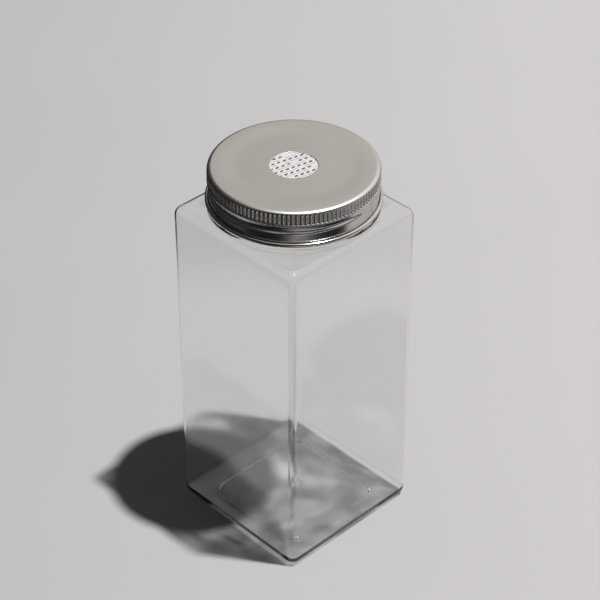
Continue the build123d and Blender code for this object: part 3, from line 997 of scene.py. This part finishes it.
def turned(name, outline, steps=192):
    """Solid of revolution from a list of radius and height points that starts and ends on the axis."""
    spots = [(0, 0, outline[0][1] * MM), (0, 0, outline[-1][1] * MM)]
    middle = outline[1:-1]
    for radius, z in middle:
        for i in range(steps):
            a = 2 * pi * i / steps
            spots.append((radius * cos(a) * MM, radius * sin(a) * MM, z * MM))
    sides = []
    for j in range(steps):
        k = (j + 1) % steps
        sides.append((0, 2 + j, 2 + k))
        for i in range(len(middle) - 1):
            a = 2 + i * steps
            sides.append((a + j, a + steps + j, a + steps + k, a + k))
        last = 2 + (len(middle) - 1) * steps
        sides.append((1, last + k, last + j))
    return mesh_object(name, spots, sides)


SEAL_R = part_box("seal_foam")[1][0] / MM
FOAM_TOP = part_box("seal_foam")[1][2] / MM
FILM_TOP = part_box("seal_face")[1][2] / MM
foam = turned("foam_disc", [
    (0, LIP_Z), (BORE_R - 1, LIP_Z), (BORE_R - 0.2, LIP_Z + 0.02), (BORE_R + 0.1, LIP_Z + 0.09),
    (NECK_R - 0.3, LIP_Z + 0.09), (NECK_R, LIP_Z + 0.02), (SEAL_R - 0.1, LIP_Z),
    (SEAL_R, LIP_Z + 0.08), (SEAL_R, FOAM_TOP - 0.05), (SEAL_R - 0.05, FOAM_TOP), (0, FOAM_TOP),
])
film = turned("printed_film", [
    (0, FOAM_TOP), (SEAL_R - 0.02, FOAM_TOP), (SEAL_R, FOAM_TOP + 0.03), (SEAL_R, FILM_TOP - 0.03),
    (SEAL_R - 0.03, FILM_TOP), (20, FILM_TOP), (12, FILM_TOP), (8.8, FILM_TOP), (5, FILM_TOP), (0, FILM_TOP),
])
print("foam", len(foam.data.polygons), "faces, film", len(film.data.polygons), "faces")

# %% [markdown]
# The film is printed in slanting rows. Plain bars stand in for print and say nothing: a grid of cells holds
# upright bars of random height in one row and short dashes in the next, and some cells stay empty. The foam
# is white, with fine cells a few tenths of a millimetre across.

# %% Cells of the print
ROW_HEIGHT = 2.7 * MM
MARK_PITCH = 1.3 * MM
PRINT_ANGLE = radians(-45.9 - 20)
ROW_SHIFT = 0.37               # each row starts this share of a cell further on
print_film, tree = new_material("printed white film")
place = add_node(tree, "ShaderNodeTexCoord").outputs["Object"]
turned_place = add_node(tree, "ShaderNodeMapping", {
    "Vector": place, "Rotation": (0, 0, PRINT_ANGLE), "Scale": (1 / MARK_PITCH, 1 / ROW_HEIGHT, 0.0),
})
cell = add_node(tree, "ShaderNodeSeparateXYZ", {0: turned_place.outputs[0]}).outputs
row_number = add_node(tree, MATH, {0: cell["Y"]}, operation="FLOOR").outputs[0]
row_size = add_node(tree, MATH, {0: row_number}, operation="ABSOLUTE").outputs[0]
bold = add_node(tree, MATH, {0: row_size, 1: 2.0}, operation="MODULO").outputs[0]
row_shift = add_node(tree, MATH, {0: row_number, 1: ROW_SHIFT}, operation="MULTIPLY").outputs[0]
shifted = add_node(tree, MATH, {0: cell["X"], 1: row_shift}, operation="ADD").outputs[0]
identity = add_node(tree, "ShaderNodeCombineXYZ", {
    "X": add_node(tree, MATH, {0: shifted}, operation="FLOOR").outputs[0], "Y": row_number,
})
chance = add_node(tree, "ShaderNodeTexWhiteNoise", {
    "Vector": identity.outputs[0],
}, noise_dimensions="2D").outputs["Value"]
print("print cells", MARK_PITCH / MM, "by", ROW_HEIGHT / MM, "mm")

# %% Bars and dashes
INKED_ABOVE = 0.15             # cells whose chance is lower stay empty
in_cell = add_node(tree, MATH, {0: shifted}, operation="FRACT").outputs[0]
from_middle = add_node(tree, MATH, {0: in_cell, 1: 0.5}, operation="SUBTRACT").outputs[0]
across = add_node(tree, MATH, {0: from_middle}, operation="ABSOLUTE").outputs[0]
in_row = add_node(tree, MATH, {0: cell["Y"]}, operation="FRACT").outputs[0]
from_line = add_node(tree, MATH, {0: in_row, 1: 0.5}, operation="SUBTRACT").outputs[0]
up = add_node(tree, MATH, {0: from_line}, operation="ABSOLUTE").outputs[0]
taller = add_node(tree, MATH, {0: chance, 1: 0.14}, operation="MULTIPLY").outputs[0]
any_bar = add_node(tree, MATH, {0: 0.26, 1: taller}, operation="ADD").outputs[0]
bar_height = add_node(tree, MATH, {0: any_bar, 1: bold}, operation="MULTIPLY").outputs[0]
half_height = add_node(tree, MATH, {0: bar_height, 1: 0.13}, operation="MAXIMUM").outputs[0]
narrower = add_node(tree, MATH, {0: bold, 1: 0.12}, operation="MULTIPLY").outputs[0]
half_width = add_node(tree, MATH, {0: 0.4, 1: narrower}, operation="SUBTRACT").outputs[0]
in_width = add_node(tree, MATH, {0: across, 1: half_width}, operation="LESS_THAN").outputs[0]
in_height = add_node(tree, MATH, {0: up, 1: half_height}, operation="LESS_THAN").outputs[0]
mark = add_node(tree, MATH, {0: in_width, 1: in_height}, operation="MULTIPLY").outputs[0]
chosen = add_node(tree, MATH, {0: chance, 1: INKED_ABOVE}, operation="GREATER_THAN").outputs[0]
inked = add_node(tree, MATH, {0: mark, 1: chosen}, operation="MULTIPLY").outputs[0]
darker = add_node(tree, MATH, {0: bold, 1: 0.4}, operation="MULTIPLY").outputs[0]
strength = add_node(tree, MATH, {0: 0.5, 1: darker}, operation="ADD").outputs[0]
ink = add_node(tree, MATH, {0: inked, 1: strength}, operation="MULTIPLY").outputs[0]
print(len(tree.nodes), "nodes print the film")

# %% Material of the film
CRINKLE_SIZE = 2.0 * MM
CRINKLE_HEIGHT = 0.03 * MM
paper_tone = add_node(tree, "ShaderNodeMix", {
    0: ink, 6: hex_colour("#efe9e8"), 7: hex_colour("#454143"),
}, data_type="RGBA")
crinkle = add_node(tree, "ShaderNodeTexNoise", {"Vector": place, "Scale": 1 / CRINKLE_SIZE, "Detail": 2.0})
film_bump = add_node(tree, "ShaderNodeBump", {
    "Strength": 0.15, "Distance": CRINKLE_HEIGHT, "Height": crinkle.outputs["Fac"],
})
film_surface = add_node(tree, "ShaderNodeBsdfPrincipled", {
    "Base Color": paper_tone.outputs[2], "Roughness": 0.5, "IOR": 1.5, "Normal": film_bump.outputs[0],
})
add_node(tree, "ShaderNodeOutputMaterial", {"Surface": film_surface.outputs[0]})
film.data.materials.append(print_film)
print("material:", print_film.name)

# %% Material of the foam
CELL_SIZE = 0.3 * MM
CELL_DEPTH = 0.05 * MM
SCATTER = 0.8 * MM             # how far light spreads inside the foam
foamed, tree = new_material("foamed polyethylene")
place = add_node(tree, "ShaderNodeTexCoord").outputs["Object"]
cells = add_node(tree, "ShaderNodeTexVoronoi", {"Vector": place, "Scale": 1 / CELL_SIZE})
foam_tone = add_node(tree, "ShaderNodeMix", {
    0: cells.outputs["Distance"], 6: hex_colour("#f1efea"), 7: hex_colour("#dedbd5"),
}, data_type="RGBA")
foam_bump = add_node(tree, "ShaderNodeBump", {
    "Strength": 0.5, "Distance": CELL_DEPTH, "Height": cells.outputs["Distance"],
})
foam_surface = add_node(tree, "ShaderNodeBsdfPrincipled", {
    "Base Color": foam_tone.outputs[2],
    "Roughness": 0.8,
    "Subsurface Weight": 0.2,
    "Subsurface Radius": (SCATTER, SCATTER, SCATTER),
    "Normal": foam_bump.outputs[0],
})
add_node(tree, "ShaderNodeOutputMaterial", {"Surface": foam_surface.outputs[0]})
foam.data.materials.append(foamed)
print("material:", foamed.name)

# %% [markdown]
# ## Hand over
# Each piece rides on its CAD body, so that the lid turns and lifts with the joints, and stands for its CAD
# node, which stays hidden for collision.

# %% Ride and replace
for piece, body, node, finish in (
    (jar, "jar", "jar_body", "clear_pet"),
    (lid, "lid", "cap_shell", "lid_aluminium"),
    (foam, "seal", "seal_foam", "seal_foam"),
    (film, "seal", "seal_face", "printed_film"),
):
    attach(piece, body)
    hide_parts(node)
    print(piece.name, "rides on", body)

bpy.context.view_layer.update()
